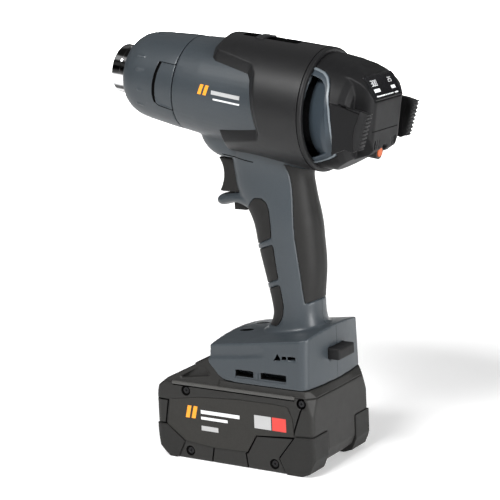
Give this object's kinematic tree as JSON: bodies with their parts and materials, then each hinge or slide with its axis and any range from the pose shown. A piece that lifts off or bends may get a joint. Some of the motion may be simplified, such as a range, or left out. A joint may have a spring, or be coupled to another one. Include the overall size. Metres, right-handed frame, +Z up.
{
  "type": "heat gun",
  "caption": "Cordless pistol-grip heat gun with a steel nozzle, twist-off front cover, rear display and dial, and a slide-on battery pack.",
  "frame": {"origin": "centre of the battery pack's flat underside, which the tool stands on", "axes": "+Z up, nozzle towards -X, display towards +X, the tool's left side towards -Y"},
  "size_m": [0.217, 0.0854, 0.2979],
  "materials": {
    "grey_shell": "fine moulded texture",
    "jacket": "soft-touch over-mould",
    "black_plastic": "satin",
    "soft_grip": "soft-touch",
    "rubber": "matt",
    "pack_rubber": "matt",
    "pack_plastic": "textured",
    "pack_label": "smooth satin",
    "nozzle_steel": "polished",
    "display_glass": "clear smoked",
    "display_bezel": "gloss",
    "display_board": "board",
    "accent": "satin",
    "black_screw": "blackened",
    "filter_mesh": "mesh",
    "mica": "matt",
    "ceramic": "matt",
    "heating_wire": "oxidised",
    "inner_plastic": "moulded",
    "motor_steel": "zinc plated",
    "spring_steel": "drawn",
    "copper_contact": "plated",
    "wire_sleeve": "smooth",
    "cell_can": "sleeved"
  },
  "bodies": {
    "housing": {"air_filter": "filter_mesh", "barrel_jacket": "jacket", "contact_blades": "copper_contact", "contact_block": "inner_plastic", "control_board": "display_board", "dial_encoder": "inner_plastic", "display_frame": "display_bezel", "display_module": "display_board", "display_window": "display_glass", "fan_duct": "inner_plastic", "fan_motor": "motor_steel", "finger_grip_lower": "soft_grip", "finger_grip_middle": "soft_grip", "finger_grip_upper": "soft_grip", "foot_bumper": "rubber", "hang_bar": "black_plastic", "heater_coil": "heating_wire", "heater_core": "ceramic", "heater_flange": "heating_wire", "housing_left": "grey_shell", "housing_right": "grey_shell", "housing_screws": "black_screw", "insulating_sleeve": "mica", "intake_scoop_left": "grey_shell", "intake_scoop_right": "grey_shell", "lead_posts": "copper_contact", "nozzle_tube": "nozzle_steel", "palm_grip": "soft_grip", "power_leads": "wire_sleeve", "rear_cover": "black_plastic", "rear_ring": "black_plastic", "stage_spring": "spring_steel", "stand_pad_left": "rubber", "stand_pad_right": "rubber", "switch_body": "inner_plastic", "trigger_spring": "spring_steel"},
    "front_cover": {"front_cover": "grey_shell"},
    "battery_pack": {"pack_base": "pack_plastic", "pack_top": "pack_plastic", "pack_bumpers": "pack_rubber", "pack_screws": "black_screw", "pack_label_left": "pack_label", "pack_label_right": "pack_label", "pack_cells": "cell_can", "cell_holder": "inner_plastic", "pack_terminals": "copper_contact", "release_spring": "spring_steel"},
    "release_button": {"release_button": "pack_plastic"},
    "trigger": {"trigger": "black_plastic"},
    "stage_button": {"stage_button": "black_plastic"},
    "setting_dial": {"setting_dial": "black_plastic", "dial_cap": "accent"},
    "fan_rotor": {"impeller": "inner_plastic", "motor_shaft": "motor_steel"}
  },
  "joints": [
    {"name": "trigger_pull", "type": "slide", "parent": "housing", "child": "trigger", "axis": [1, 0, 0], "range_m": [0, 0.006], "stiffness_N_per_m": 900, "springref_m": -0.002, "deforming": ["trigger_spring"]},
    {"name": "stage_press", "type": "slide", "parent": "housing", "child": "stage_button", "axis": [0, 0, 1], "range_m": [0, 0.0015], "stiffness_N_per_m": 1200, "springref_m": -0.0008, "deforming": ["stage_spring"]},
    {"name": "dial_turn", "type": "hinge", "parent": "housing", "child": "setting_dial", "pos_m": [0.09197, 0, 0.22073], "axis": [0.9898, 0, -0.1426], "continuous": true},
    {"name": "fan_spin", "type": "hinge", "parent": "housing", "child": "fan_rotor", "pos_m": [0, 0, 0.2556], "axis": [0.9898, 0, -0.1426], "continuous": true},
    {"name": "front_cover_off", "type": "slide", "parent": "housing", "child": "front_cover", "axis": [-0.9898, 0, 0.1426], "range_m": [0, 0.065]},
    {"name": "pack_slide", "type": "slide", "parent": "housing", "child": "battery_pack", "axis": [-1, 0, 0], "range_m": [0, 0.075]},
    {"name": "release_press", "type": "slide", "parent": "battery_pack", "child": "release_button", "axis": [0.4558, 0, -0.8901], "range_m": [0, 0.0025], "stiffness_N_per_m": 1500, "springref_m": -0.0008, "deforming": ["release_spring"]}
  ]
}
